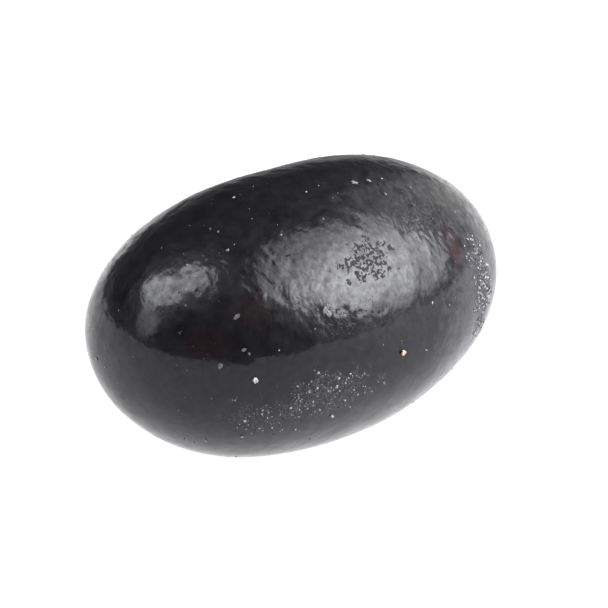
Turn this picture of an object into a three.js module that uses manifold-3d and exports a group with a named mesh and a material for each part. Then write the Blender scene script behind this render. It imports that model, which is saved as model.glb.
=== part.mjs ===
// A jelly bean: a kidney-shaped bean of soft jelly in a thin, polished sugar shell.
//
// Millimetres, +Z up. The long axis lies along X with the fatter end at -X, the full side of the
// bean faces -Y and its hollow side faces +Y. The bean lies on the flat spot under its belly, and
// the origin is at the middle of its bounding box, on the surface that it rests on.

import * as THREE from 'three';
import { mergeVertices } from 'three/addons/utils/BufferGeometryUtils.js';
import Module from 'manifold-3d';

// The bean's body before it is bent, dented and rested
const LENGTH = 22.0; // end to end, along X
const WIDTH = 14.4; // full side to hollow side, along Y
const HEIGHT = 13.4; // along Z
const SQUARENESS = 2.2; // exponent of the long outline: 2 is an ellipse, more makes blunter ends
const TAPER = 0.045; // the left end is fatter, and the right end slimmer, by this share

// The kidney form
const BEND = 0.3; // how far the middle stands forward, and the ends back, of a straight bean
const SADDLE_DEPTH = 1.1; // how deep the hollow side is pressed in at its middle
const SADDLE_REACH = 0.38; // how far along the hollow runs, as a share of half the length

// The tumbling pan leaves soft, shallow dents all over: waves that cross each other
const DENT_DEPTH = 0.09; // height of the waves, added together
const DENT_SPACING = 8.0; // crest to crest
const DENT_WAVES = 7; // waves, each running in a direction of its own
const DENT_PHASE = 1.9; // radians from one wave's start to the next one's

// The flat spot that the bean lies on
const REST_PRESS = 0.16; // how much of the belly is pressed flat

const FINENESS = 18; // cuts along each edge of the icosahedron that the skin is shaped from

const GOLDEN_ANGLE = Math.PI * (3 - Math.sqrt(5));

const liquoriceShell = new THREE.MeshStandardMaterial({
  color: 0x0c0b0c,
  roughness: 0.16,
  metalness: 0,
});

/** Unit vectors spread evenly over a sphere, by a golden-angle spiral from its top to its bottom. */
function spreadDirections(count) {
  return Array.from({ length: count }, (_, i) => {
    const z = 1 - (2 * i + 1) / count;
    const level = Math.sqrt(1 - z * z);
    const turn = i * GOLDEN_ANGLE;
    return new THREE.Vector3(level * Math.cos(turn), level * Math.sin(turn), z);
  });
}

/** The point of the plain bean, tapered but straight, in the direction of a unit vector. */
function plainBean(direction) {
  const girth = Math.hypot(direction.y, direction.z);
  const reach = (Math.abs(direction.x) ** SQUARENESS + girth ** SQUARENESS) ** (-1 / SQUARENESS);
  const along = direction.x * reach;
  const thickness = 1 - TAPER * along;
  return {
    along,
    across: direction.y * reach,
    point: new THREE.Vector3(
      (along * LENGTH) / 2,
      (direction.y * reach * thickness * WIDTH) / 2,
      (direction.z * reach * thickness * HEIGHT) / 2,
    ),
  };
}

/** How far the middle is bowed forward and its hollow side pressed in, at a place on the bean. */
function kidneyShift(along, across) {
  const bow = BEND * (1 - 2 * along * along);
  const hollow = SADDLE_DEPTH * Math.exp(-((along / SADDLE_REACH) ** 2));
  return bow + hollow * Math.max(across, 0) ** 2;
}

/** Height of the crossing waves at a point, as a share of the dents' depth. */
function dentWaves(point, directions) {
  const heights = directions.map((direction, i) =>
    Math.sin((2 * Math.PI * direction.dot(point)) / DENT_SPACING + i * DENT_PHASE),
  );
  return heights.reduce((sum, height) => sum + height, 0) / Math.sqrt(directions.length);
}

/** The bean's whole skin, closed and centred on the plain bean's middle. */
function beanSkin() {
  const skin = new THREE.IcosahedronGeometry(1, FINENESS);
  skin.deleteAttribute('normal');
  skin.deleteAttribute('uv');
  const closed = mergeVertices(skin, 1e-5);
  const waveDirections = spreadDirections(DENT_WAVES);
  const positions = closed.attributes.position;
  const direction = new THREE.Vector3();
  for (let i = 0; i < positions.count; i += 1) {
    direction.fromBufferAttribute(positions, i).normalize();
    const { along, across, point } = plainBean(direction);
    const outward = point.clone().normalize();
    point.addScaledVector(outward, (DENT_DEPTH / 2) * dentWaves(point, waveDirections));
    point.y -= kidneyShift(along, across);
    positions.setXYZ(i, point.x, point.y, point.z);
  }
  return closed;
}

/** Takes a slab off under the bean, which leaves the flat spot at the slab's top. */
function pressRestSpot(skin, wasm) {
  const toSolid = (geometry) =>
    new wasm.Manifold(
      new wasm.Mesh({
        numProp: 3,
        vertProperties: geometry.attributes.position.array,
        triVerts: new Uint32Array(geometry.index.array),
      }),
    );
  skin.computeBoundingBox();
  const slab = new THREE.BoxGeometry(2 * LENGTH, 2 * LENGTH, HEIGHT);
  slab.translate(0, 0, skin.boundingBox.min.z + REST_PRESS - HEIGHT / 2);
  slab.deleteAttribute('normal');
  slab.deleteAttribute('uv');
  const pressed = toSolid(skin).subtract(toSolid(mergeVertices(slab))).getMesh();
  const geometry = new THREE.BufferGeometry();
  geometry.setAttribute('position', new THREE.BufferAttribute(pressed.vertProperties, 3));
  geometry.setIndex(new THREE.BufferAttribute(pressed.triVerts, 1));
  return geometry;
}

/** Moves the bean so that it stands on z = 0, with its box centred on the origin. */
function standOnOrigin(geometry) {
  geometry.computeBoundingBox();
  const { min, max } = geometry.boundingBox;
  geometry.translate(-(min.x + max.x) / 2, -(min.y + max.y) / 2, -min.z);
  geometry.computeVertexNormals();
  return geometry;
}

const wasm = await Module();
wasm.setup();

const jellyBean = new THREE.Mesh(standOnOrigin(pressRestSpot(beanSkin(), wasm)), liquoriceShell);
jellyBean.name = 'jelly_bean';

const part = new THREE.Group();
part.add(jellyBean);

export default part;
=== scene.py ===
"""A polished black jelly bean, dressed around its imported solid.

The bean lies along X with its fatter end at -X. Its full side faces -Y and its hollow
side faces +Y. Sizes are in millimetres unless a name says otherwise, and each mesh is
brought to metres as its last step. Directions on the bean are given from the middle of
its box: azimuth 0 points along -Y, azimuth 90 along +X, and elevation 90 straight up.
"""

import logging
import math
from dataclasses import dataclass, field
from enum import Enum
from itertools import combinations

import bpy
from bpy.types import ID, AreaLight, Material, Mesh, Node, NodeSocket, NodeTree, Object, World
from mathutils import Matrix, Quaternion, Vector, noise


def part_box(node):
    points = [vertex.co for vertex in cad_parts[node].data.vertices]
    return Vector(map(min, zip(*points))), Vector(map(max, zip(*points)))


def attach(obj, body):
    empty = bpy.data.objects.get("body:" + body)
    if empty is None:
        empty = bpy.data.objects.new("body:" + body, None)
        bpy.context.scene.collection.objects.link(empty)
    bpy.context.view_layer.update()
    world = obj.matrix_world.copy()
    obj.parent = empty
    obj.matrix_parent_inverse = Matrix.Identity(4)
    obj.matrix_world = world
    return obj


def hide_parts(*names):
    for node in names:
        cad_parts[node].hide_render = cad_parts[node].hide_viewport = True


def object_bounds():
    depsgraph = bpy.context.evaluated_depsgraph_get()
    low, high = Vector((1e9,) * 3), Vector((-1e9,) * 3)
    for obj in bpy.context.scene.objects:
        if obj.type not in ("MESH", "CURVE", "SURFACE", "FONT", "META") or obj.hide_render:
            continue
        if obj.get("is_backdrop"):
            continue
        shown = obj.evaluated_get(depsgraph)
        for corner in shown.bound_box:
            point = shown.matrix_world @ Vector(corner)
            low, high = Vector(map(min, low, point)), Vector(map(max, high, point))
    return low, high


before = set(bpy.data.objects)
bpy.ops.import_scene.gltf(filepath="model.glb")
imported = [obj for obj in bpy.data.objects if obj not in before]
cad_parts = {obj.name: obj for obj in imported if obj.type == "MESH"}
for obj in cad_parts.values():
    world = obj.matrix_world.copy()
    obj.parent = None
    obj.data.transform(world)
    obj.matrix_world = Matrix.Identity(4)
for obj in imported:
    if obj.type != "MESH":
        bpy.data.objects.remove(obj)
cad_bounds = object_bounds()

BEAN_NODE = "jelly_bean"
MM = 0.001
MM_PER_M = 1000.0
CM2_PER_M2 = 10_000.0
GOLDEN_ANGLE = math.pi * (3 - math.sqrt(5))
GOLDEN_RATIO = (1 + math.sqrt(5)) / 2
VIEW_AZIMUTH = -38.0  # the camera stands in front of the bean's left end
WHITENESS = "whiteness"  # the grains' attribute: 0 for clear sugar, 1 for white
NOISE_SPAN = (0.3, 0.7)  # nearly all of a soft noise lies between these levels
EASED = {"interpolation_type": "SMOOTHSTEP"}

Pair = tuple[float, float]
Triple = tuple[float, float, float]

log = logging.getLogger("jelly_bean")


class Kind(Enum):
    """The node types that the trees below use, apart from the two math nodes."""

    GROUP_IN = "NodeGroupInput"
    GROUP_OUT = "NodeGroupOutput"
    SPLIT = "ShaderNodeSeparateXYZ"
    JOIN = "ShaderNodeCombineXYZ"
    RANGE = "ShaderNodeMapRange"
    NOISE = "ShaderNodeTexNoise"
    CELLS = "ShaderNodeTexVoronoi"
    MIX = "ShaderNodeMix"
    MAPPING = "ShaderNodeMapping"
    COORDINATES = "ShaderNodeTexCoord"
    ATTRIBUTE = "ShaderNodeAttribute"
    BUMP = "ShaderNodeBump"
    PRINCIPLED = "ShaderNodeBsdfPrincipled"
    SURFACE_OUT = "ShaderNodeOutputMaterial"
    LIGHT_PATH = "ShaderNodeLightPath"
    GEOMETRY = "ShaderNodeNewGeometry"
    EMISSION = "ShaderNodeEmission"
    LIGHT_OUT = "ShaderNodeOutputLight"
    BACKGROUND = "ShaderNodeBackground"
    WORLD_OUT = "ShaderNodeOutputWorld"
    POSITION = "GeometryNodeInputPosition"
    NORMAL = "GeometryNodeInputNormal"
    NAMED = "GeometryNodeInputNamedAttribute"
    STORE = "GeometryNodeStoreNamedAttribute"
    BOX_GRID = "GeometryNodeMeshCube"
    ICO = "GeometryNodeMeshIcoSphere"
    SET_POSITION = "GeometryNodeSetPosition"
    BOUNDS = "GeometryNodeBoundBox"
    TRANSFORM = "GeometryNodeTransform"
    RAYCAST = "GeometryNodeRaycast"
    SCATTER = "GeometryNodeDistributePointsOnFaces"
    INSTANCE = "GeometryNodeInstanceOnPoints"
    RANDOM = "FunctionNodeRandomValue"
    EULER = "FunctionNodeEulerToRotation"
    TURN = "FunctionNodeRotateRotation"
    SMOOTH = "GeometryNodeSetShadeSmooth"
    REALIZE = "GeometryNodeRealizeInstances"
    SET_MATERIAL = "GeometryNodeSetMaterial"


# What a math node and a vector math node work out
Maths = Enum(
    "Maths",
    "ADD SUBTRACT MULTIPLY DIVIDE MULTIPLY_ADD POWER ABSOLUTE MAXIMUM SMOOTH_MAX LESS_THAN"
    " SINE TANGENT EXPONENT",
)
Vectors = Enum(
    "Vectors",
    "ADD SUBTRACT MULTIPLY DIVIDE MULTIPLY_ADD SCALE NORMALIZE LENGTH DISTANCE DOT_PRODUCT",
)
MATH_NODES = {Maths: "ShaderNodeMath", Vectors: "ShaderNodeVectorMath"}


class State(Enum):
    """Surface states of the shell, each kept as a vertex attribute from 0 to 1."""

    WORN = "worn_glaze"
    BLOOM = "sugar_bloom"
    SYRUP = "syrup_tint"
    CRUSTED = "sugar_crust"
    # Milky haze, partly real and partly painted sheen: grey that stands in for the key light's
    # broad reflection
    HAZY = "milky_haze"
    RUBBED = "rubbed_wax"


def linear_colour(code: str) -> tuple[float, float, float, float]:
    """Turns an sRGB hex colour to the linear colour that shaders take.

    Args:
        code: The colour as "#rrggbb".

    Returns:
        Red, green, blue and an alpha of 1, all linear.
    """
    shares = [int(code[i : i + 2], 16) / 255 for i in (1, 3, 5)]
    red, green, blue = (
        share / 12.92 if share <= 0.04045 else ((share + 0.055) / 1.055) ** 2.4
        for share in shares
    )
    return red, green, blue, 1.0


def direction(azimuth: float, elevation: float) -> Vector:
    """Gives the unit vector of a direction on the bean.

    Args:
        azimuth: Degrees from -Y towards +X.
        elevation: Degrees above the level.

    Returns:
        The unit vector.
    """
    turn, rise = math.radians(azimuth), math.radians(elevation)
    level = math.cos(rise)
    return Vector((math.sin(turn) * level, -math.cos(turn) * level, math.sin(rise)))


def put_in_scene(name: str, data: ID) -> Object:
    """Makes an object and links it to the scene.

    Args:
        name: The object's name.
        data: Its mesh, light or camera.

    Returns:
        The object.
    """
    thing = bpy.data.objects.new(name, data)
    bpy.context.scene.collection.objects.link(thing)
    return thing


class Nodes:
    """A node tree, built node by node."""

    def __init__(self, tree: NodeTree) -> None:
        """Takes a tree and empties it."""
        self.tree = tree
        tree.nodes.clear()

    def add(
        self,
        kind: Kind | Maths | Vectors,
        *feeds: object,
        named: dict[str, object] | None = None,
        **settings: object,
    ) -> Node:
        """Adds a node, sets it up and feeds its inputs.

        Args:
            kind: The node's type, or what a math node works out.
            *feeds: One entry for each shown input, from the top: a socket, a node whose first
                shown output is meant, a plain value, or None to leave that input alone.
            named: The same kind of entries, by the input's name.
            **settings: The node's own properties.

        Returns:
            The new node.
        """
        if isinstance(kind, Kind):
            node = self.tree.nodes.new(kind.value)
        else:
            node = self.tree.nodes.new(MATH_NODES[type(kind)])
            node.operation = kind.name
        for name, value in settings.items():
            setattr(node, name, value)
        shown = [socket for socket in node.inputs if socket.enabled]
        pairs = list(zip(shown, feeds))
        pairs += [(node.inputs[name], feed) for name, feed in (named or {}).items()]
        for socket, feed in pairs:
            source = feed
            if isinstance(feed, Node):
                source = next(output for output in feed.outputs if output.enabled)
            if isinstance(source, NodeSocket):
                self.tree.links.new(source, socket)
            elif source is not None:
                socket.default_value = source
        return node


class ShapeNodes(Nodes):
    """A geometry node tree with named inputs, and the values that its modifier gets."""

    SOCKETS = {float: "NodeSocketFloat", Vector: "NodeSocketVector"}

    def __init__(self, name: str) -> None:
        """Starts a tree that takes and gives one mesh.

        Args:
            name: The tree's name, and its piece's.
        """
        super().__init__(bpy.data.node_groups.new(name, "GeometryNodeTree"))
        self.name = name
        self.values: dict[str, float | Vector] = {}
        for way in ("INPUT", "OUTPUT"):
            self.tree.interface.new_socket("Mesh", in_out=way, socket_type="NodeSocketGeometry")

    def size(self, name: str, value: float | Vector) -> NodeSocket:
        """Adds a named input with its value.

        Args:
            name: The input's name, in plain words.
            value: What the modifier sets it to.

        Returns:
            The socket that the value comes in by.
        """
        item = self.tree.interface.new_socket(
            name, in_out="INPUT", socket_type=self.SOCKETS[type(value)]
        )
        self.values[item.identifier] = value
        return self.add(Kind.GROUP_IN).outputs[name]

    def mesh_in(self) -> NodeSocket:
        """Gives the mesh that the tree starts from."""
        return self.add(Kind.GROUP_IN).outputs["Mesh"]

    def finish(self, mesh: Node, material: Material) -> None:
        """Ends the tree: real meshes for the instances, then the material."""
        real = self.add(Kind.REALIZE, mesh)
        self.add(Kind.GROUP_OUT, self.add(Kind.SET_MATERIAL, real, None, material))

    def shape(self, start: Mesh) -> Object:
        """Runs the tree on a mesh and keeps the result as a plain mesh.

        Args:
            start: The mesh that goes in.

        Returns:
            A new object named after the tree, with no modifier left on it.
        """
        piece = put_in_scene(self.name, start)
        modifier = piece.modifiers.new(self.name, "NODES")
        modifier.node_group = self.tree
        for identifier, value in self.values.items():
            modifier[identifier] = value
        depsgraph = bpy.context.evaluated_depsgraph_get()
        result = piece.evaluated_get(depsgraph)
        shaped = bpy.data.meshes.new_from_object(result, depsgraph=depsgraph)
        piece.modifiers.remove(modifier)
        piece.data = shaped
        shaped.name = self.name
        return piece


class SurfaceNodes(Nodes):
    """A material's node tree."""

    def __init__(self, name: str) -> None:
        """Starts an empty material.

        Args:
            name: The material's name.
        """
        self.material = bpy.data.materials.new(name)
        self.material.use_nodes = True
        super().__init__(self.material.node_tree)

    def place(self) -> Node:
        """Gives the place on the piece, in millimetres."""
        place = self.add(Kind.COORDINATES).outputs["Object"]
        return self.add(Kind.MAPPING, place, named={"Scale": (MM_PER_M,) * 3})

    def attribute(self, name: str) -> NodeSocket:
        """Reads a vertex attribute of the piece."""
        return self.add(Kind.ATTRIBUTE, attribute_name=name).outputs["Fac"]

    def finish(self, inputs: dict[str, object]) -> Material:
        """Ends the tree with its one surface, fed by the names of its inputs."""
        self.add(Kind.SURFACE_OUT, self.add(Kind.PRINCIPLED, named=inputs))
        return self.material


@dataclass(frozen=True)
class Mottle:
    """A soft noise that moves a value between two ends.

    Attributes:
        size: Size of its blotches.
        detail: How many finer layers lie on them.
        values: The value at each of the two levels.
        levels: The noise's levels where the value starts and stops changing.
        roughness: How strong the finer layers are.
        swirl: How much the blotches curl.
    """

    size: float
    detail: float
    values: Pair
    levels: Pair = NOISE_SPAN
    roughness: float = 0.5
    swirl: float = 0.0

    def draw(self, nodes: Nodes, place: object) -> Node:
        """Draws the mottle in a tree.

        Args:
            nodes: The tree.
            place: The place, in the unit of the blotches' size.

        Returns:
            The node that gives the value.
        """
        swirl = {"Distortion": self.swirl}
        blotches = nodes.add(
            Kind.NOISE, place, 1 / self.size, self.detail, self.roughness, named=swirl
        )
        return nodes.add(Kind.RANGE, blotches, *self.levels, *self.values)


@dataclass(frozen=True)
class PannedSugarShell:
    """Liquorice-black sugar shell, pan coated, glazed with shellac and waxed.

    Hundreds of thin syrup coats dry to a smooth but faintly rippled glass of sugar. The
    black dye swallows nearly all light, so the eye reads it from its reflections: crisp
    ones in the wax, with a softer haze around them from the sugar underneath.

    Attributes:
        crack_cover: How much of the glaze is cracked at a worn patch's edge and middle.
        crack_full_at: How worn the glaze is where its cracks cover most.
        crack_edge: How gently a crack sets in, as a share of the noise that draws it.
        bloom_roughness: How much rougher full bloom makes the sugar.
        rubbed_roughness: How much rougher rubbing makes the sugar.
        bloom_wax_loss: The share of the wax that full bloom hides.
        least_wax: The share of the wax that is left at the dullest places.
        smooth_up_to: Heights between which the shell's skin grows from smooth to rough.
        smoothness: How much of its roughness the skin keeps low down.
    """

    black: str = "#08070a"
    soft_black: str = "#0e0c0f"
    syrup_brown: str = "#2a120f"
    bloom_grey: str = "#4a474b"
    # Grey of the milky haze; where it lies round the key light's highlight it is a painted sheen
    haze_and_sheen_grey: str = "#353337"
    soft_black_share: Mottle = Mottle(2.6, 3.0, (0.0, 1.0), (0.35, 0.7))
    haze_and_sheen_cloud: Mottle = Mottle(0.13, 2.0, (0.5, 1.0), (0.35, 0.7))
    bloom_speckle: Mottle = Mottle(0.13, 2.0, (0.1, 1.0), (0.45, 0.7))
    sugar_roughness: Mottle = Mottle(0.7, 4.0, (0.25, 0.43))
    bloom_roughness: float = 0.12
    rubbed_roughness: float = 0.17
    worn_roughness: float = 0.8
    sugar_ior: float = 1.54
    sugar_shine: float = 0.18
    wax_ior: float = 1.36
    wax_roughness: float = 0.1
    wax_weight: float = 0.76
    wax_unevenness: Mottle = Mottle(0.34, 3.0, (-0.31, 0.31), (0.36, 0.64), 0.65, 0.4)
    bloom_wax_loss: float = 0.4
    least_wax: float = 0.1
    peel_size: float = 0.2
    peel_stretch: Triple = (1.0, 0.7, 0.7)
    peel_height: float = 0.01
    smooth_up_to: Pair = (6.5, 10.0)
    smoothness: float = 0.36
    prick_spacing: float = 0.55
    prick_radius: float = 0.045
    prick_share: float = 0.2
    prick_depth: float = 0.02
    crack_size: float = 0.18
    crack_swirl: float = 1.0
    crack_cover: Pair = (0.1, 0.575)
    crack_full_at: float = 0.7
    crack_edge: float = 0.1
    crack_dullness: float = 0.92
    crack_depth: float = 0.004
    crack_floor: Mottle = Mottle(0.13, 1.0, (0.6, 1.0))

    def material(self) -> Material:
        """Builds the shell's material.

        Returns:
            The material.
        """
        nodes = SurfaceNodes("panned_sugar_shell")
        dull = self._cracks(nodes)
        relief = self._relief(nodes, dull)
        return nodes.finish(
            {
                "Base Color": self._colour(nodes),
                "Roughness": self._roughness(nodes, dull),
                "IOR": self.sugar_ior,
                "Specular IOR Level": self.sugar_shine,
                "Normal": relief,
                "Coat Weight": self._wax(nodes, dull),
                "Coat Roughness": self.wax_roughness,
                "Coat IOR": self.wax_ior,
                "Coat Normal": relief,
            }
        )

    def _cracks(self, nodes: SurfaceNodes) -> Node:
        """Draws the short, curly cracks where the glaze is worn through.

        The cracks fill the low places of a curling noise. They cover most in the middle of
        a worn patch, and thin out to specks at its edge.

        Args:
            nodes: The material's tree.

        Returns:
            The node that gives how dull the shell is, from 0 to 1.
        """
        swirl = {"Distortion": self.crack_swirl}
        curl = nodes.add(Kind.NOISE, nodes.place(), 1 / self.crack_size, 0.0, named=swirl)
        worn = nodes.attribute(State.WORN.value)
        cover = nodes.add(Kind.RANGE, worn, 0.0, self.crack_full_at, *self.crack_cover)
        inside = nodes.add(Maths.SUBTRACT, cover, curl)
        cracked = nodes.add(Kind.RANGE, inside, 0.0, self.crack_edge, 0.0, self.crack_dullness)
        return nodes.add(Maths.MAXIMUM, cracked, nodes.attribute(State.CRUSTED.value))

    def _roughened(self, nodes: SurfaceNodes) -> Node:
        """Says how much of its rough skin the shell keeps: it is rubbed smooth low down."""
        level = nodes.add(Kind.SPLIT, nodes.place()).outputs["Z"]
        return nodes.add(Kind.RANGE, level, *self.smooth_up_to, self.smoothness, 1.0)

    def _colour(self, nodes: SurfaceNodes) -> Node:
        """Lays the soft mottle, the brown syrup, the haze (partly a painted sheen) and the bloom
        over the black.

        Args:
            nodes: The material's tree.

        Returns:
            The node that gives the colour.
        """
        place = nodes.place()
        # The milky share is partly a painted sheen round the key light's highlight
        milky_and_sheen, dusted = (
            nodes.add(Maths.MULTIPLY, nodes.attribute(state.value), mottle.draw(nodes, place))
            for state, mottle in (
                (State.HAZY, self.haze_and_sheen_cloud),
                (State.BLOOM, self.bloom_speckle),
            )
        )
        colour: object = linear_colour(self.black)
        for share, code in (
            (self.soft_black_share.draw(nodes, place), self.soft_black),
            (nodes.attribute(State.SYRUP.value), self.syrup_brown),
            (milky_and_sheen, self.haze_and_sheen_grey),
            (dusted, self.bloom_grey),
        ):
            colour = nodes.add(Kind.MIX, share, colour, linear_colour(code), data_type="RGBA")
        return colour

    def _roughness(self, nodes: SurfaceNodes, dull: Node) -> Node:
        """Varies the sugar's roughness, and raises it where it is worn, dusty or rubbed.

        Args:
            nodes: The material's tree.
            dull: How worn or crusted the glaze is there.

        Returns:
            The node that gives the roughness.
        """
        rough: object = self.sugar_roughness.draw(nodes, nodes.place())
        for state, more in (
            (State.BLOOM, self.bloom_roughness),
            (State.RUBBED, self.rubbed_roughness),
        ):
            rough = nodes.add(Maths.MULTIPLY_ADD, nodes.attribute(state.value), more, rough)
        return nodes.add(Kind.MIX, dull, rough, self.worn_roughness, data_type="FLOAT")

    def _wax(self, nodes: SurfaceNodes, dull: Node) -> Node:
        """Mottles the wax, and thins it where the shell is worn, dusty or rubbed.

        Args:
            nodes: The material's tree.
            dull: How worn or crusted the glaze is there.

        Returns:
            The node that gives the weight of the wax coat.
        """
        uneven = self.wax_unevenness.draw(nodes, nodes.place())
        laid = nodes.add(Maths.MULTIPLY_ADD, uneven, self._roughened(nodes), self.wax_weight)
        bloom = nodes.attribute(State.BLOOM.value)
        dusty = nodes.add(Maths.MULTIPLY_ADD, bloom, self.bloom_wax_loss, dull)
        lost = nodes.add(Maths.ADD, dusty, nodes.attribute(State.RUBBED.value))
        left = nodes.add(Kind.RANGE, lost, 0.0, 1.0, 1.0, self.least_wax)
        return nodes.add(Maths.MULTIPLY, laid, left)

    def _relief(self, nodes: SurfaceNodes, dull: Node) -> Node:
        """Adds the relief too fine for the mesh: a leathery peel, pinpricks and cracks.

        Args:
            nodes: The material's tree.
            dull: How worn or crusted the glaze is there.

        Returns:
            The node that gives the normal.
        """
        place = nodes.place()
        stretched = nodes.add(Vectors.MULTIPLY, place, self.peel_stretch)
        peel = nodes.add(Kind.NOISE, stretched, 1 / self.peel_size, 2.0)
        height = nodes.add(Maths.MULTIPLY, peel, self._roughened(nodes))
        peeled = nodes.add(Kind.BUMP, 1.0, self.peel_height * MM, named={"Height": height})
        depth = nodes.add(Maths.MULTIPLY, self.crack_floor.draw(nodes, place), dull)
        holes = self._pinpricks(nodes)
        pricked = {"Height": holes, "Normal": peeled}
        normal = nodes.add(Kind.BUMP, 1.0, self.prick_depth * MM, named=pricked, invert=True)
        cracked = {"Height": depth, "Normal": normal}
        return nodes.add(Kind.BUMP, 1.0, self.crack_depth * MM, named=cracked, invert=True)

    def _pinpricks(self, nodes: SurfaceNodes) -> Node:
        """Pricks tiny pits in the glaze, here and there, where bubbles have burst.

        Args:
            nodes: The material's tree.

        Returns:
            The node that gives the pits' depth, from 0 to 1.
        """
        cells = nodes.add(Kind.CELLS, nodes.place(), 1 / self.prick_spacing)
        radius = self.prick_radius / self.prick_spacing
        hole = nodes.add(Kind.RANGE, cells.outputs["Distance"], radius, 0.0, 0.0, 1.0)
        draw = nodes.add(Kind.SPLIT, cells.outputs["Color"]).outputs["X"]
        kept = nodes.add(Maths.LESS_THAN, draw, self.prick_share)
        return nodes.add(Maths.MULTIPLY, hole, kept)


@dataclass(frozen=True)
class SugarGrainFinish:
    """Loose sugar: crushed crystals, dry and unglazed.

    Each grain is clear, but its many broken faces scatter the light, so it reads as a
    dull white with a faint glint, warmer where it has taken up syrup.
    """

    name: str = "loose_sugar"
    bright: str = "#c0c0c2"
    dim: str = "#2c2c30"
    brightness: Mottle = Mottle(0.5, 1.0, (0.7, 1.0), (0.35, 0.65))
    roughness: Mottle = Mottle(0.5, 1.0, (0.28, 0.48))

    def material(self) -> Material:
        """Builds the grains' material.

        Returns:
            The material.
        """
        nodes = SurfaceNodes(self.name)
        place = nodes.place()
        white = nodes.attribute(WHITENESS)
        share = nodes.add(Maths.MULTIPLY, self.brightness.draw(nodes, place), white)
        ends = linear_colour(self.dim), linear_colour(self.bright)
        return nodes.finish(
            {
                "Base Color": nodes.add(Kind.MIX, share, *ends, data_type="RGBA"),
                "Roughness": self.roughness.draw(nodes, place),
            }
        )


@dataclass(frozen=True)
class OpalTableFinish:
    """Opal acrylic of a light table: matte white, lit evenly from below.

    The eye sees a flat white with hardly a shadow on it.
    """

    white: str = "#58585b"
    glow_tint: str = "#fdfdff"
    glow: float = 1.0
    roughness: float = 0.9
    shine: float = 0.2

    def material(self) -> Material:
        """Builds the table top's material.

        Returns:
            The material.
        """
        return SurfaceNodes("opal_table").finish(
            {
                "Base Color": linear_colour(self.white),
                "Roughness": self.roughness,
                "Specular IOR Level": self.shine,
                "Emission Color": linear_colour(self.glow_tint),
                "Emission Strength": self.glow,
            }
        )


@dataclass(frozen=True)
class Ripple:
    """One layer of the shell's real relief, from soft noise.

    Attributes:
        along: Size of a ripple along the bean.
        round: Size of a ripple round the bean's girth.
        height: How far the noise's whole range reaches.
        shift: Moves the noise, so that no two layers share their ripples.
        swirl: How much the ripples curl.
        calm: How far the ripples die away in the calm places between rough ones.
    """

    along: float
    round: float
    height: float
    shift: float
    swirl: float
    calm: float


@dataclass(frozen=True)
class Patch:
    """An oval patch of a surface state on the shell, in a direction from the bean's middle.

    Attributes:
        along: Half its size along the bean.
        round: Half its size round the girth.
        strength: The state at its middle, from 0 to 1.
        ragged: How ragged its edge is, from 0 for a plain oval to 1.
    """

    state: State
    azimuth: float
    elevation: float
    along: float
    round: float
    strength: float
    ragged: float = 1.0


@dataclass(frozen=True)
class Pinhole:
    """A burst bubble in the glaze: a small pit with a raised lip."""

    azimuth: float
    elevation: float
    radius: float
    depth: float


CRUMBED_PINHOLE = Pinhole(-27.9, 24.4, 0.24, 0.018)


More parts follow.
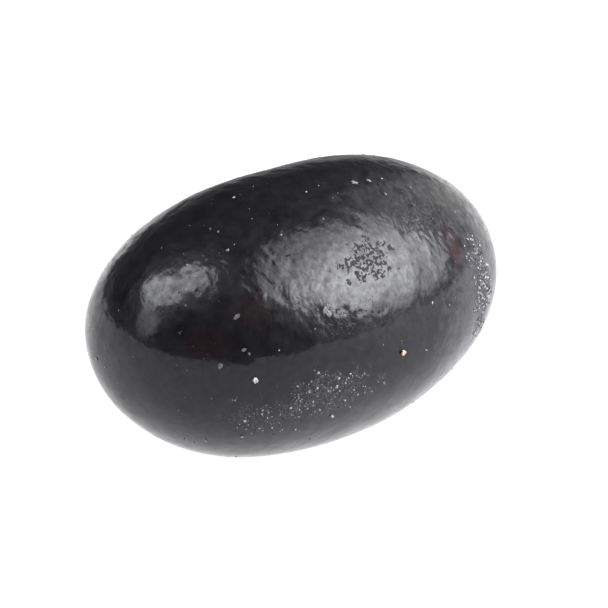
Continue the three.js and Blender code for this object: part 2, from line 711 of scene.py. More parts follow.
@dataclass
class BeanShell:
    """The bean's shell, shaped by one rule and fitted to the solid's box.

    A superellipse runs from end to end, swept round an oval girth, fatter at one end. It is
    bowed forward, pressed in along its hollow side, softly dented, and flat where it lies.

    Attributes:
        low: The lowest corner of the solid's box, in metres.
        high: The highest corner of the solid's box, in metres.
        rest_edge: How softly the flat spot runs into the belly.
        rows_along: Points of the mesh along the bean.
        rows_round: Points along each of the four sides of its girth.
        patch_wobble: How far a ragged patch's outline wanders, as a share of its size.
        patch_core: The share of a patch that is at full strength.
        roughed: How rough the skin is, from the calm places to the rough ones.
        smooth_up_to: Heights between which the skin grows from smooth to rough.
        smoothness: How much of its fine ripples the skin keeps low down.
        worn_depth: How deep the shell is worn on the lumps in a worn patch.
        worn_lumps: How much deeper it is worn between them.
        lip: How high a pinhole's lip stands, against its depth.
        clear_of_rest: Heights between which the relief sets in above the flat spot.
    """

    low: Vector
    high: Vector
    length: float = 22.0
    width: float = 14.4
    height: float = 13.4
    squareness: float = 2.2
    taper: float = 0.045
    bend: float = 0.3
    saddle_depth: float = 1.1
    saddle_reach: float = 0.38
    dent_depth: float = 0.09
    dent_spacing: float = 8.0
    dent_waves: int = 7
    dent_phase: float = 1.9
    rest_press: float = 0.16
    rest_edge: float = 0.12
    rows_along: int = 204
    rows_round: int = 96
    patch_wobble: Mottle = Mottle(0.5, 3.0, (-0.45, 0.45))
    patch_core: float = 0.35
    ripples: tuple[Ripple, ...] = (
        Ripple(2.6, 2.2, 0.07, 3.0, 0.0, 0.0),
        Ripple(0.9, 1.1, 0.07, 17.0, 0.5, 0.2),
        Ripple(0.42, 0.42, 0.042, 29.0, 1.7, 0.6),
        Ripple(0.22, 0.3, 0.017, 41.0, 1.5, 0.85),
    )
    roughed: Mottle = Mottle(1.5, 2.0, (0.0, 1.0), (0.38, 0.62))
    smooth_up_to: Pair = (6.5, 10.0)
    smoothness: float = 0.3
    worn_depth: float = 0.012
    worn_lumps: Mottle = Mottle(0.35, 0.0, (0.015, 0.0))
    lip: float = 1.7
    clear_of_rest: Pair = (0.02, 0.6)
    patches: tuple[Patch, ...] = (
        Patch(State.WORN, -3.2, 41.0, 2.3, 1.3, 1.0),
        Patch(State.WORN, 49.5, 40.0, 2.5, 1.5, 1.0),
        Patch(State.WORN, 64.0, 66.0, 0.7, 0.4, 0.8),
        Patch(State.WORN, -50.0, 44.5, 1.1, 0.9, 0.5),
        Patch(State.WORN, -42.0, 29.5, 0.9, 0.6, 0.45),
        Patch(State.WORN, -19.0, 19.5, 2.6, 1.0, 0.55),
        Patch(State.BLOOM, -30.0, -8.1, 2.9, 1.6, 0.95),
        Patch(State.BLOOM, -42.0, -10.8, 2.4, 1.1, 0.6),
        Patch(State.BLOOM, -52.0, -12.9, 2.9, 1.4, 0.7),
        Patch(State.BLOOM, -72.0, 14.0, 3.0, 2.8, 0.025),
        Patch(State.BLOOM, 54.5, 4.5, 1.1, 2.9, 0.8),
        Patch(State.BLOOM, 120.0, 25.0, 3.0, 2.0, 0.5),
        Patch(State.BLOOM, -150.0, -5.0, 2.6, 1.4, 0.7),
        # Milky haze patches, partly painted sheen: grey laid below, beside and above the key
        # light's highlight, where its broad reflection falls
        Patch(State.HAZY, 2.0, 12.0, 5.0, 1.8, 0.1),
        Patch(State.HAZY, 50.0, 2.0, 3.4, 5.0, 1.0),
        Patch(State.HAZY, 40.0, 50.0, 4.0, 3.0, 0.5),
        Patch(State.HAZY, 170.0, 20.0, 5.0, 4.0, 0.6),
        Patch(State.CRUSTED, 54.5, 4.5, 1.1, 2.9, 0.4),
        Patch(State.SYRUP, 48.8, 22.8, 0.9, 1.3, 0.9),
        Patch(State.SYRUP, -67.7, 12.9, 1.5, 1.1, 0.14),
        Patch(State.SYRUP, -55.0, 24.5, 1.4, 1.0, 0.14),
        Patch(State.SYRUP, 160.0, 30.0, 1.4, 1.0, 0.7),
        Patch(State.RUBBED, 180.0, 76.0, 13.0, 5.4, 0.9, 0.1),
    )
    pinholes: tuple[Pinhole, ...] = (
        CRUMBED_PINHOLE,
        Pinhole(-20.7, 24.0, 0.27, 0.02),
        Pinhole(-13.9, 21.3, 0.18, 0.014),
        Pinhole(-56.0, 45.5, 0.2, 0.018),
        Pinhole(-53.0, 41.0, 0.18, 0.016),
    )
    nodes: ShapeNodes = field(init=False)

    def build(self, finish: PannedSugarShell) -> Object:
        """Shapes the shell and dresses it.

        Args:
            finish: The shell's finish.

        Returns:
            The shell, a plain mesh in metres.
        """
        self.nodes = ShapeNodes("sugar_shell")
        bean = self._plain_bean()
        bean = self._rested(bean)
        bean = self._fitted(bean)
        bean = self._with_states(bean)
        bean = self._rippled(bean)
        metres = self.nodes.add(Kind.TRANSFORM, bean, None, None, (MM,) * 3)
        self.nodes.finish(self.nodes.add(Kind.SMOOTH, metres), finish.material())
        return self.nodes.shape(bpy.data.meshes.new("start"))

    def _plain_bean(self) -> Node:
        """Shapes an even grid of faces to the bean, in millimetres about its middle.

        Returns:
            The node that gives the mesh.
        """
        add = self.nodes.add
        rows = self.rows_along, self.rows_round, self.rows_round
        grid = add(Kind.BOX_GRID, (2.0, 2.0, 2.0), *rows)
        sides = add(Kind.SPLIT, add(Kind.POSITION)).outputs
        even = [add(Maths.TANGENT, add(Maths.MULTIPLY, side, math.pi / 4)) for side in sides]
        unit = add(Vectors.NORMALIZE, add(Kind.JOIN, *even))
        along, across, up = self._reach(*add(Kind.SPLIT, unit).outputs)
        dented = self._dented(self._plain_point(along, across, up))
        shift = add(Kind.JOIN, 0.0, self._kidney_shift(along, across), 0.0)
        return add(Kind.SET_POSITION, grid, None, add(Vectors.SUBTRACT, dented, shift))

    def _reach(self, x: NodeSocket, y: NodeSocket, z: NodeSocket) -> list[Node]:
        """Scales a unit direction out to the superellipse.

        Args:
            x: Its share along the bean.
            y: Its share across the bean.
            z: Its share upwards.

        Returns:
            The three shares of the half sizes, from -1 to 1.
        """
        add = self.nodes.add
        squareness = self.nodes.size("Squareness", self.squareness)
        girth = add(Vectors.LENGTH, add(Kind.JOIN, 0.0, y, z))
        powers = [
            add(Maths.POWER, add(Maths.ABSOLUTE, share), squareness) for share in (x, girth)
        ]
        inverse = add(Maths.DIVIDE, -1.0, squareness)
        reach = add(Maths.POWER, add(Maths.ADD, *powers), inverse)
        return [add(Maths.MULTIPLY, share, reach) for share in (x, y, z)]

    def _plain_point(self, along: Node, across: Node, up: Node) -> Node:
        """Places a point of the straight bean, tapered from its fatter end.

        Args:
            along: Its share of the half length.
            across: Its share of the half width.
            up: Its share of the half height.

        Returns:
            The node that gives the point.
        """
        add, size = self.nodes.add, self.nodes.size
        slimmer = add(Maths.MULTIPLY, along, size("Taper", self.taper))
        thickness = add(Maths.SUBTRACT, 1.0, slimmer)
        shares = [add(Maths.MULTIPLY, share, thickness) for share in (across, up)]
        halves = [
            add(Maths.MULTIPLY, size(name, value), 0.5)
            for name, value in (
                ("Length", self.length),
                ("Width", self.width),
                ("Height", self.height),
            )
        ]
        return add(Vectors.MULTIPLY, add(Kind.JOIN, along, *shares), add(Kind.JOIN, *halves))

    def _dented(self, point: Node) -> Node:
        """Moves a point in and out by waves that cross each other, the pan's soft dents.

        Args:
            point: The point of the straight bean.

        Returns:
            The node that gives the moved point.
        """
        add, size = self.nodes.add, self.nodes.size
        per_turn = add(Maths.DIVIDE, 2 * math.pi, size("Dent Spacing", self.dent_spacing))
        total: object = 0.0
        for i in range(self.dent_waves):
            rise = 1 - (2 * i + 1) / self.dent_waves
            level = math.sqrt(1 - rise * rise)
            turn = i * GOLDEN_ANGLE
            way = (level * math.cos(turn), level * math.sin(turn), rise)
            run = add(Vectors.DOT_PRODUCT, point, way)
            phase = add(Maths.MULTIPLY_ADD, run, per_turn, i * self.dent_phase)
            total = add(Maths.ADD, add(Maths.SINE, phase), total)
        height = add(Maths.MULTIPLY, total, size("Dent Depth", self.dent_depth))
        scaled = add(Maths.MULTIPLY, height, 0.5 / math.sqrt(self.dent_waves))
        offset = add(Vectors.SCALE, add(Vectors.NORMALIZE, point), scaled)
        return add(Vectors.ADD, point, offset)

    def _bell(self, share: Node) -> Node:
        """Gives a bell curve's height: 1 at its middle, and dying away past a share of 1."""
        squared = self.nodes.add(Maths.MULTIPLY, share, share)
        return self.nodes.add(Maths.EXPONENT, self.nodes.add(Maths.MULTIPLY, squared, -1.0))

    def _kidney_shift(self, along: Node, across: Node) -> Node:
        """Says how far a place is bowed forward, and pressed in on the hollow side.

        Args:
            along: The place's share of the half length.
            across: Its share of the half width.

        Returns:
            The node that gives the shift towards -Y.
        """
        add, size = self.nodes.add, self.nodes.size
        squared = add(Maths.MULTIPLY, along, along)
        bowed = add(Maths.MULTIPLY_ADD, squared, -2.0, 1.0)
        bow = add(Maths.MULTIPLY, bowed, size("Bend", self.bend))
        share = add(Maths.DIVIDE, along, size("Saddle Reach", self.saddle_reach))
        depth = size("Saddle Depth", self.saddle_depth)
        hollow = add(Maths.MULTIPLY, self._bell(share), depth)
        inner = add(Maths.MAXIMUM, across, 0.0)
        return add(Maths.MULTIPLY_ADD, hollow, add(Maths.MULTIPLY, inner, inner), bow)

    def _rested(self, bean: Node) -> Node:
        """Presses the belly flat where it lies, with a soft edge.

        Args:
            bean: The mesh about its own middle.

        Returns:
            The node that gives the mesh.
        """
        add = self.nodes.add
        lowest = add(Kind.SPLIT, add(Kind.BOUNDS, bean).outputs["Min"]).outputs["Z"]
        plane = add(Maths.ADD, lowest, self.nodes.size("Rest Press", self.rest_press))
        x, y, z = add(Kind.SPLIT, add(Kind.POSITION)).outputs
        pressed = add(Maths.SMOOTH_MAX, z, plane, self.rest_edge)
        return add(Kind.SET_POSITION, bean, None, add(Kind.JOIN, x, y, pressed))

    def _fitted(self, bean: Node) -> Node:
        """Stretches the bean, by a hair, to the exact box of the solid it stands for.

        Args:
            bean: The mesh about its own middle.

        Returns:
            The node that gives the mesh, in the frame's own place.
        """
        add = self.nodes.add
        low = self.nodes.size("Box Low", self.low * MM_PER_M)
        high = self.nodes.size("Box High", self.high * MM_PER_M)
        bounds = add(Kind.BOUNDS, bean)
        own_low, own_high = bounds.outputs["Min"], bounds.outputs["Max"]
        own_size = add(Vectors.SUBTRACT, own_high, own_low)
        stretch = add(Vectors.DIVIDE, add(Vectors.SUBTRACT, high, low), own_size)
        start = add(Vectors.SUBTRACT, add(Kind.POSITION), own_low)
        return add(Kind.SET_POSITION, bean, None, add(Vectors.MULTIPLY_ADD, start, stretch, low))

    def _surface_place(self, bean: Node, spot: Patch | Pinhole) -> NodeSocket:
        """Finds where a direction from the bean's middle meets the skin.

        Args:
            bean: The mesh in its place.
            spot: What has the azimuth and elevation.

        Returns:
            The socket that gives the place.
        """
        middle = self.nodes.add(Kind.JOIN, *((self.low + self.high) / 2 * MM_PER_M))
        way = direction(spot.azimuth, spot.elevation)
        cast = self.nodes.add(Kind.RAYCAST, bean, None, middle, way, self.length)
        return cast.outputs["Hit Position"]

    def _with_states(self, bean: Node) -> Node:
        """Stores each surface state as an attribute, from its oval patches.

        Args:
            bean: The mesh in its place.

        Returns:
            The node that gives the mesh.
        """
        add = self.nodes.add
        place = add(Kind.POSITION)
        wobble = self.patch_wobble.draw(self.nodes, place)
        stored = bean
        for state in State:
            level: object = 0.0
            for patch in (patch for patch in self.patches if patch.state is state):
                offset = add(Vectors.SUBTRACT, place, self._surface_place(bean, patch))
                half = (patch.along, patch.round, patch.round)
                far = add(Vectors.LENGTH, add(Vectors.DIVIDE, offset, half))
                edge = add(Maths.MULTIPLY_ADD, wobble, patch.ragged, far)
                fade = 1.0, self.patch_core, 0.0, patch.strength
                level = add(Maths.MAXIMUM, add(Kind.RANGE, edge, *fade, **EASED), level)
            stored = add(
                Kind.STORE, stored, None, state.value, level, data_type="FLOAT", domain="POINT"
            )
        return stored

    def _rippled(self, bean: Node) -> Node:
        """Raises the shell's fine relief along its normals, but not where it lies.

        Args:
            bean: The mesh in its place.

        Returns:
            The node that gives the mesh.
        """
        add = self.nodes.add
        place = add(Kind.POSITION)
        up = add(Kind.SPLIT, place).outputs["Z"]
        height = self._ripple_height(place, up)
        worn = add(Kind.NAMED, State.WORN.value, data_type="FLOAT")
        basin = add(Maths.ADD, self.worn_lumps.draw(self.nodes, place), self.worn_depth)
        height = add(Maths.SUBTRACT, height, add(Maths.MULTIPLY, worn, basin))
        for hole in self.pinholes:
            far = add(Vectors.DISTANCE, place, self._surface_place(bean, hole))
            share = add(Maths.DIVIDE, far, hole.radius)
            squared = add(Maths.MULTIPLY, share, share)
            lip = add(Maths.MULTIPLY_ADD, squared, self.lip, -1.0)
            profile = add(Maths.MULTIPLY, self._bell(share), lip)
            height = add(Maths.MULTIPLY_ADD, profile, hole.depth, height)
        clear = add(Kind.RANGE, up, *self.clear_of_rest, 0.0, 1.0, **EASED)
        lifted = add(Maths.MULTIPLY, height, clear)
        offset = add(Vectors.SCALE, add(Kind.NORMAL), lifted)
        return add(Kind.SET_POSITION, bean, None, None, offset)

    def _ripple_height(self, place: Node, up: NodeSocket) -> Node:
        """Adds the ripples' layers up, calmer here and there, and fainter low down.

        Args:
            place: The place on the bean.
            up: Its height.

        Returns:
            The node that gives the height of the ripples.
        """
        add = self.nodes.add
        rougher = add(Kind.RANGE, up, *self.smooth_up_to, self.smoothness, 1.0)
        rough = self.roughed.draw(self.nodes, place)
        height: object = 0.0
        for ripple in self.ripples:
            size = (1 / ripple.along, 1 / ripple.round, 1 / ripple.round)
            scaled = add(Vectors.MULTIPLY_ADD, place, size, (ripple.shift,) * 3)
            soft = add(Kind.NOISE, scaled, 1.0, 1.0, named={"Distortion": ripple.swirl})
            local = add(
                Kind.RANGE, rough, 0.0, 1.0, ripple.height * (1 - ripple.calm), ripple.height
            )
            if ripple.calm:
                local = add(Maths.MULTIPLY, local, rougher)
            level = add(Maths.SUBTRACT, soft, 0.5)
            height = add(Maths.MULTIPLY_ADD, level, local, height)
        return height


@dataclass
class SugarDust:
    """Fine sugar dust: a thin scatter all over, and thick where the shell has bloomed.

    Attributes:
        loose: Grains on each square centimetre of clean shell.
        in_bloom: Further grains on each square centimetre of full bloom.
        in_crust: Further grains on each square centimetre of full crust.
        least: Radius of the smallest grains.
        most: Radius of the largest grains.
        rarity: How much rarer the large grains are than the small ones.
        paleness: How much rarer the white grains are than the clear ones.
        clumps: How thin or thick the grains lie, in clumps sized in metres.
        squash: The least and most that a grain's radius is stretched by, each way.
        tip: How far a grain may tip out of the skin, in radians.
    """

    name: str = "sugar_dust"
    loose: float = 36.0
    in_bloom: float = 3700.0
    in_crust: float = 0.0
    least: float = 0.017
    most: float = 0.066
    rarity: float = 3.0
    paleness: float = 2.0
    seed: int = 11
    clumps: Mottle = Mottle(0.8 * MM, 2.0, (0.25, 1.8), (0.38, 0.64))
    squash: tuple[tuple[float, ...], ...] = ((0.7, 0.6, 0.4), (1.5, 1.2, 0.8))
    tip: float = 0.3

    def build(self, shell: Object, material: Material) -> Object:
        """Scatters the grains on the shell.

        Args:
            shell: The finished shell.
            material: The grains' material.

        Returns:
            All the grains, one plain mesh.
        """
        nodes = ShapeNodes(self.name)
        add = nodes.add
        density: object = nodes.size("Loose Grains", self.loose)
        for state, name, count in (
            (State.BLOOM, "Grains In Bloom", self.in_bloom),
            (State.CRUSTED, "Grains In Crust", self.in_crust),
        ):
            level = add(Kind.NAMED, state.value, data_type="FLOAT")
            density = add(Maths.MULTIPLY_ADD, level, nodes.size(name, count), density)
        clumped = self.clumps.draw(nodes, add(Kind.POSITION))
        uneven = add(Maths.MULTIPLY, density, clumped)
        per_m2 = add(Maths.MULTIPLY, uneven, CM2_PER_M2)
        points = add(Kind.SCATTER, nodes.mesh_in(), None, per_m2, self.seed)
        draws = (
            ("FLOAT", 0.0, 1.0),
            ("FLOAT_VECTOR", *self.squash),
            ("FLOAT_VECTOR", (-self.tip, -self.tip, 0.0), (self.tip, self.tip, 2 * math.pi)),
            ("FLOAT", 0.0, 1.0),
        )
        size, squash, spin, pale = (
            add(Kind.RANDOM, *ends, None, self.seed + i, data_type=data_type)
            for i, (data_type, *ends) in enumerate(draws, start=1)
        )
        rare = add(Maths.POWER, size, self.rarity)
        least = nodes.size("Least Radius", self.least * MM)
        most = nodes.size("Most Radius", self.most * MM)
        scale = add(Vectors.SCALE, squash, add(Kind.RANGE, rare, 0.0, 1.0, least, most))
        euler = add(Kind.EULER, spin)
        turned = add(Kind.TURN, points.outputs["Rotation"], euler, rotation_space="LOCAL")
        grain = add(Kind.ICO, 1.0, 1)
        grains = add(Kind.INSTANCE, points, None, grain, None, None, turned, scale)
        white = add(Maths.POWER, pale, self.paleness)
        marked = add(
            Kind.STORE, grains, None, WHITENESS, white, data_type="FLOAT", domain="INSTANCE"
        )
        nodes.finish(marked, material)
        return nodes.shape(shell.data.copy())


@dataclass(frozen=True)
class Crumb:
    """A single sugar crumb on the shell, in a direction from the bean's middle.

    Attributes:
        half: Its half sizes along, round and out.
        turn: How far it is turned on the shell, in degrees.
        white: How white it is, from 0 for clear to 1.
    """

    azimuth: float
    elevation: float
    half: Triple
    turn: float
    white: float


def crumb_ring(
    hole: Pinhole,
    spread: float = 1.35,
    count: int = 4,
    half: Triple = (0.16, 0.13, 0.025),
    white: float = 0.12,
) -> tuple[Crumb, ...]:
    """Sets flat crumbs in a ring, as sugar dries round the lip of a burst bubble.

    Args:
        hole: The burst bubble.
        spread: How far the crumbs stand from its middle, in degrees.
        count: How many crumbs.
        half: Their half sizes along, round and out.
        white: How white they are.

    Returns:
        The crumbs.
    """
    turns = [360.0 * i / count for i in range(count)]
    widened = spread / math.cos(math.radians(hole.elevation))
    return tuple(
        Crumb(
            hole.azimuth + widened * math.cos(math.radians(turn)),
            hole.elevation + spread * math.sin(math.radians(turn)),
            half,
            turn,
            white,
        )
        for turn in turns
    )


SUGAR_CRUMBS = (
    Crumb(-52.9, 2.5, (0.14, 0.11, 0.09), 20.0, 0.8),
    Crumb(-27.0, -20.0, (0.12, 0.08, 0.07), 70.0, 0.6),
    Crumb(61.7, 68.7, (0.17, 0.1, 0.05), 10.0, 0.32),
    Crumb(67.9, 62.3, (0.14, 0.09, 0.05), 140.0, 0.36),
    Crumb(54.2, 56.2, (0.07, 0.06, 0.05), 40.0, 0.2),
    Crumb(68.0, 46.1, (0.07, 0.05, 0.05), 95.0, 0.25),
    Crumb(-87.6, 45.3, (0.07, 0.05, 0.04), 15.0, 0.1),
    Crumb(-82.9, 45.7, (0.06, 0.06, 0.05), 60.0, 0.12),
    Crumb(-72.8, 40.9, (0.09, 0.07, 0.05), 120.0, 0.18),
    Crumb(-101.2, -2.1, (0.1, 0.08, 0.05), 35.0, 1.0),
    Crumb(-56.4, -12.2, (0.08, 0.07, 0.06), 80.0, 0.55),
    Crumb(-69.6, -21.0, (0.08, 0.06, 0.05), 5.0, 0.6),
    Crumb(-58.4, -19.5, (0.09, 0.06, 0.05), 50.0, 0.5),
    Crumb(32.5, 9.3, (0.06, 0.05, 0.04), 25.0, 0.25),
    Crumb(17.7, -3.5, (0.06, 0.05, 0.04), 65.0, 0.3),
    Crumb(-62.7, 6.5, (0.14, 0.09, 0.02), 160.0, 0.14),
    Crumb(-56.7, 11.7, (0.11, 0.08, 0.02), 110.0, 0.12),
    Crumb(-55.0, 10.6, (0.07, 0.06, 0.02), 30.0, 0.1),
    Crumb(-60.4, 21.2, (0.16, 0.09, 0.02), 130.0, 0.1),
    Crumb(140.0, 12.0, (0.13, 0.1, 0.08), 15.0, 0.6),
    Crumb(196.0, 34.0, (0.1, 0.08, 0.06), 75.0, 0.4),
    Crumb(168.0, -18.0, (0.09, 0.07, 0.06), 125.0, 0.5),
    *crumb_ring(CRUMBED_PINHOLE),
)
SYRUP_CRUMBS = (
    Crumb(4.8, 0.1, (0.14, 0.12, 0.1), 30.0, 1.0),
    Crumb(205.0, 8.0, (0.12, 0.1, 0.08), 80.0, 0.8),
)


@dataclass
class Crumbs:
    """A few crumbs large enough to be seen one by one, stuck in the glaze.

    Attributes:
        roughness: How far a crumb's lumps stand out, as a share of its size.
        pitch: How close its lumps are: more is closer.
        shift: Moves the noise from one crumb to the next, so that no two are alike.
        sunk: How much of a crumb's height is sunk in the glaze.
    """

    name: str
    crumbs: tuple[Crumb, ...]
    roughness: float = 0.8
    pitch: float = 2.1
    shift: Triple = (7.3, 1.9, 4.1)
    sunk: float = 0.3

    def build(self, shell: Object, middle: Vector, material: Material) -> Object:
        """Shapes each crumb and sets it on the shell.

        Args:
            shell: The finished shell.
            middle: The middle of the bean's box.
            material: The crumbs' material.

        Returns:
            All the crumbs, one mesh.
        """
        vertices: list[Vector] = []
        faces: list[tuple[int, ...]] = []
        whites: list[float] = []
        ball, triangles = self._ball()
        for i, crumb in enumerate(self.crumbs):
            start = len(vertices)
            shift = Vector(self.shift) * (i + 1)
            lump = [
                point * (1 + self.roughness * noise.noise(point * self.pitch + shift))
                for point in ball
            ]
            place = self._placed(shell, middle, crumb)
            vertices += [place @ point for point in lump]
            faces += [tuple(start + index for index in face) for face in triangles]
            whites += [crumb.white] * len(lump)
        mesh = bpy.data.meshes.new(self.name)
        mesh.from_pydata(vertices, [], faces)
        mesh.attributes.new(WHITENESS, "FLOAT", "POINT").data.foreach_set("value", whites)
        mesh.materials.append(material)
        return put_in_scene(self.name, mesh)

    def _ball(self) -> tuple[list[Vector], list[tuple[int, int, int]]]:
        """Makes a ball of unit radius: an icosahedron with each triangle cut in four.

        Returns:
            Its points, and its triangles, which face outwards.
        """
        corners = [
            Vector(corner).normalized()
            for s in (-1, 1)
            for t in (-GOLDEN_RATIO, GOLDEN_RATIO)
            for corner in ((0, s, t), (s, t, 0), (t, 0, s))
        ]
        points = list(corners)
        pairs = list(combinations(range(len(corners)), 2))
        edge = min((corners[i] - corners[j]).length for i, j in pairs)
        middles: dict[tuple[int, int], int] = {}
        for i, j in pairs:
            if math.isclose((corners[i] - corners[j]).length, edge, rel_tol=0.05):
                middles[i, j] = len(points)
                points.append((corners[i] + corners[j]).normalized())
        faces: list[tuple[int, int, int]] = []
        for a, b, c in combinations(range(len(corners)), 3):
            if {(a, b), (b, c), (a, c)} <= middles.keys():
                ab, bc, ca = middles[a, b], middles[b, c], middles[a, c]
                faces += [(a, ab, ca), (b, bc, ab), (c, ca, bc), (ab, bc, ca)]
        outward = [
            (a, b, c) if points[a].cross(points[b]).dot(points[c]) > 0 else (c, b, a)
            for a, b, c in faces
        ]
        return points, outward

    def _placed(self, shell: Object, middle: Vector, crumb: Crumb) -> Matrix:
        """Finds the matrix that sets a crumb on the shell.

        Args:
            shell: The finished shell.
            middle: The middle of the bean's box.
            crumb: The crumb.

        Returns:
            The matrix, from the unit lump to metres.
        """
        way = direction(crumb.azimuth, crumb.elevation)
        hit, place, normal, _ = shell.ray_cast(middle, way)
        if not hit:
            raise ValueError(f"{self.name}: no shell at azimuth {crumb.azimuth}")
        turn = normal.to_track_quat("Z", "X").to_matrix().to_4x4()
        spin = Matrix.Rotation(math.radians(crumb.turn), 4, "Z")
        size = Matrix.Diagonal((*(half * MM for half in crumb.half), 1.0))
        lift = normal * crumb.half[2] * MM * (1 - 2 * self.sunk)
        return Matrix.Translation(place + lift) @ turn @ spin @ size


@dataclass(frozen=True)
class Softbox:
    """A studio softbox that points at the bean. Its sizes are in metres, and angles in degrees.

    Attributes:
        peak: How bright its cloth is over the bulb.
        rim: How bright its cloth is far from the bulb.
        bulb: Where the bulb is behind the cloth, as shares of its width and height.
        bulb_reach: How far from the bulb its light starts and stops fading, as shares too.
        roll: How far it is turned about the line to the bean.
        tilt: How far its top leans towards the bean.
        corner: How square its outline is: 2 is an ellipse, and more is squarer.
        outline: The shares of its half size where the cloth has faded out, and where it is full.
        soft: How wide its dim sides and its dim top and bottom are, as shares of its size.
        edge: How much of its brightness is left at its very edge.
    """

    name: str
    azimuth: float
    elevation: float
    width: float
    height: float
    peak: float
    rim: float
    bulb: Pair = (0.5, 0.5)
    bulb_reach: Pair = (0.05, 0.55)
    roll: float = 0.0
    tilt: float = 0.0
    corner: float = 4.0
    outline: Pair = (1.05, 0.92)
    soft: Pair = (0.12, 0.3)
    edge: float = 0.25
    distance: float = 0.5
    tint: str = "#fafbff"

    def build(self, target: Vector) -> None:
        """Sets the lamp up.

        Args:
            target: What it points at.
        """
        light = bpy.data.lights.new(self.name, "AREA")
        light.shape = "RECTANGLE"
        light.size, light.size_y = self.width, self.height
        light.color = linear_colour(self.tint)[:3]
        light.energy = math.pi * self.width * self.height
        self._shade(light)
        lamp = put_in_scene(self.name, light)
        way = direction(self.azimuth, self.elevation)
        lamp.location = target + way * self.distance
        facing = (
            way.to_track_quat("Z", "Y")
            @ Quaternion((0, 0, 1), math.radians(self.roll))
            @ Quaternion((1, 0, 0), -math.radians(self.tilt))
        )
        lamp.rotation_euler = facing.to_euler()
        lamp.visible_camera = False

    def _shade(self, light: AreaLight) -> None:
        """Makes the cloth brightest over the bulb, dimmer away from it, and soft at its edges.

        Args:
            light: The lamp's light, with a power of one for each unit of radiance.
        """
        light.use_nodes = True
        add = Nodes(light.node_tree).add
        place = add(Kind.GEOMETRY).outputs["Parametric"]
        far = add(Vectors.DISTANCE, place, (*self.bulb, 0.0))
        glow = add(Kind.RANGE, far, *self.bulb_reach, self.peak, self.rim, **EASED)
        powers = []
        for share, soft in zip(add(Kind.SPLIT, place).outputs, self.soft):
            outward = add(Maths.ABSOLUTE, add(Maths.SUBTRACT, share, 0.5))
            left = add(Kind.RANGE, outward, 0.5, 0.5 - soft, self.edge, 1.0)
            glow = add(Maths.MULTIPLY, glow, left)
            powers.append(add(Maths.POWER, add(Maths.MULTIPLY, outward, 2.0), self.corner))
        reach = add(Maths.POWER, add(Maths.ADD, *powers), 1 / self.corner)
        inside = add(Kind.RANGE, reach, *self.outline, 0.0, 1.0)
        add(Kind.LIGHT_OUT, add(Kind.EMISSION, None, add(Maths.MULTIPLY, glow, inside)))


@dataclass
class Studio:
    """A dark room with an opal light table, a white screen behind and two softboxes.

    A pale sweep stands behind the bean. Its sizes are in degrees, and the floor's in metres.

    Attributes:
        sweep_turn: How far the sweep stands round from the camera.
        sweep_edge: How far its edges fade to either side.
        backdrop_radiance: How bright the screen is that the camera sees behind the bean.
        lamps: The softboxes, and the glow on the second one's stand.
    """

    floor_radius: float = 1.0
    floor_sides: int = 96
    sweep_turn: float = 144.0
    sweep_half_width: float = 15.0
    sweep_top: float = 33.0
    sweep_edge: float = 8.0
    sweep_radiance: float = 1.15
    room_radiance: float = 0.06
    backdrop_radiance: float = 1.2
    lamps: tuple[Softbox, ...] = (
        Softbox(
            "key_softbox", 46.0, 37.0, 0.66, 0.88, 13.8, 5.6, (0.37, 0.43),
            roll=3.0, tilt=15.0, corner=2.3, soft=(0.16, 0.4),
        ),
        Softbox(
            "fill_softbox", -112.0, 51.5, 0.27, 0.48, 8.4, 6.6, (0.35, 0.4),
            roll=-25.0, corner=7.0, soft=(0.15, 0.2),
        ),
        Softbox("fill_stand_glow", -108.0, 18.0, 0.18, 0.28, 2.5, 1.6, roll=18.0),
    )

    def build(self, target: Vector) -> None:
        """Lays the floor, hangs the lamps and lights the room.

        Args:
            target: The middle of the bean.
        """
        self._floor(OpalTableFinish().material())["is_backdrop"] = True
        for lamp in self.lamps:
            lamp.build(target)
        bpy.context.scene.world = self._room()

    def _floor(self, material: Material) -> Object:
        """Makes the round top of the light table.

        Args:
            material: The opal acrylic.

        Returns:
            The table top.
        """
        turns = [2 * math.pi * i / self.floor_sides for i in range(self.floor_sides)]
        rim = [
            (self.floor_radius * math.cos(turn), self.floor_radius * math.sin(turn), 0.0)
            for turn in turns
        ]
        mesh = bpy.data.meshes.new("light_table")
        mesh.from_pydata(rim, [], [tuple(range(self.floor_sides))])
        mesh.materials.append(material)
        return put_in_scene("light_table", mesh)

    def _room(self) -> World:
        """Makes the room's light: dim all round, with the pale sweep behind the bean.

        Returns:
            The world.
        """
        world = bpy.data.worlds.new("studio_room")
        world.use_nodes = True
        add = Nodes(world.node_tree).add
        way = add(Kind.COORDINATES).outputs["Generated"]
        heading = add(Vectors.NORMALIZE, add(Vectors.MULTIPLY, way, (1.0, 1.0, 0.0)))
        behind = direction(VIEW_AZIMUTH + self.sweep_turn, 0.0)
        facing = add(Vectors.DOT_PRODUCT, heading, behind)
        inside, outside = (
            math.cos(math.radians(self.sweep_half_width + side * self.sweep_edge))
            for side in (-1, 1)
        )
        across = add(Kind.RANGE, facing, outside, inside, 0.0, 1.0, **EASED)
        below, above = (
            math.sin(math.radians(self.sweep_top + side * self.sweep_edge)) for side in (-1, 1)
        )
        rise = add(Kind.SPLIT, way).outputs["Z"]
        up = add(Kind.RANGE, rise, above, below, 0.0, 1.0, **EASED)
        sweep = add(Maths.MULTIPLY, across, up)
        lit = add(Kind.RANGE, sweep, 0.0, 1.0, self.room_radiance, self.sweep_radiance)
        seen = add(Kind.LIGHT_PATH).outputs["Is Camera Ray"]
        strength = add(Kind.MIX, seen, lit, self.backdrop_radiance, data_type="FLOAT")
        add(Kind.WORLD_OUT, add(Kind.BACKGROUND, (1.0, 1.0, 1.0, 1.0), strength))
        return world


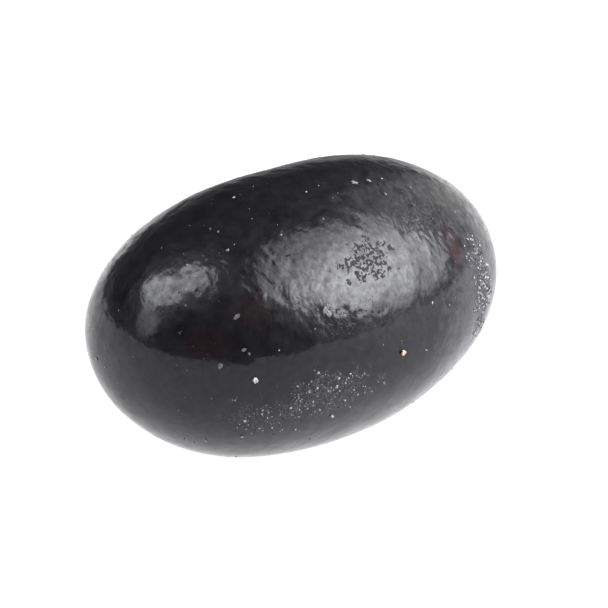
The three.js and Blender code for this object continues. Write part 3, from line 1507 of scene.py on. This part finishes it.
@dataclass
class Camera:
    """A camera on a long lens, looking down on the bean from in front of its left end.

    Its frame's width is what it takes in at the bean, and its sizes are in metres, apart
    from the sensor's.
    """

    azimuth: float = VIEW_AZIMUTH
    elevation: float = 27.0
    distance: float = 0.24
    frame_width: float = 0.0296
    sensor_width: float = 36.0
    clip: Pair = (0.01, 5.0)

    def build(self, target: Vector) -> None:
        """Sets the camera up as the scene's own.

        Args:
            target: What it looks at.
        """
        lens = bpy.data.cameras.new("camera")
        lens.sensor_width = self.sensor_width
        lens.lens = self.sensor_width * self.distance / self.frame_width
        lens.clip_start, lens.clip_end = self.clip
        camera = put_in_scene("camera", lens)
        way = direction(self.azimuth, self.elevation)
        camera.location = target + way * self.distance
        camera.rotation_euler = way.to_track_quat("Z", "Y").to_euler()
        bpy.context.scene.camera = camera


def place_piece(piece: Object) -> None:
    """Puts a finished piece on the bean's body and reports how many faces it has.

    Args:
        piece: The piece.
    """
    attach(piece, "root")
    log.info("%s: %d faces", piece.name, len(piece.data.polygons))


def main() -> None:
    """Builds the camera, the studio and the bean, and works out the sizes of the solid and of
    the dressed bean.
    """
    logging.basicConfig(level=logging.INFO, format="%(name)s: %(message)s")
    bpy.context.scene.view_settings.view_transform = "Standard"
    low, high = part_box(BEAN_NODE)
    middle = (low + high) / 2
    Camera().build(middle)
    Studio().build(middle)
    shell = BeanShell(low, high).build(PannedSugarShell())
    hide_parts(BEAN_NODE)
    place_piece(shell)
    sugar = SugarGrainFinish().material()
    syrup_sugar = SugarGrainFinish("syrup_sugar", bright="#c4b19a", dim="#a08c76").material()
    crust = SugarDust(
        "sugar_crust", loose=0.0, in_bloom=0.0, in_crust=20000.0,
        least=0.025, most=0.085, rarity=1.8, paleness=2.8, seed=41,
    )
    for piece in (
        SugarDust().build(shell, sugar),
        crust.build(shell, sugar),
        Crumbs("sugar_crumbs", SUGAR_CRUMBS).build(shell, middle, sugar),
        Crumbs("syrup_crumbs", SYRUP_CRUMBS).build(shell, middle, syrup_sugar),
    ):
        place_piece(piece)
    sizes = {
        name: [list(corner) for corner in bounds]
        for name, bounds in (("cad", cad_bounds), ("visual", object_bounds()))
    }


if __name__ == "__main__":
    main()
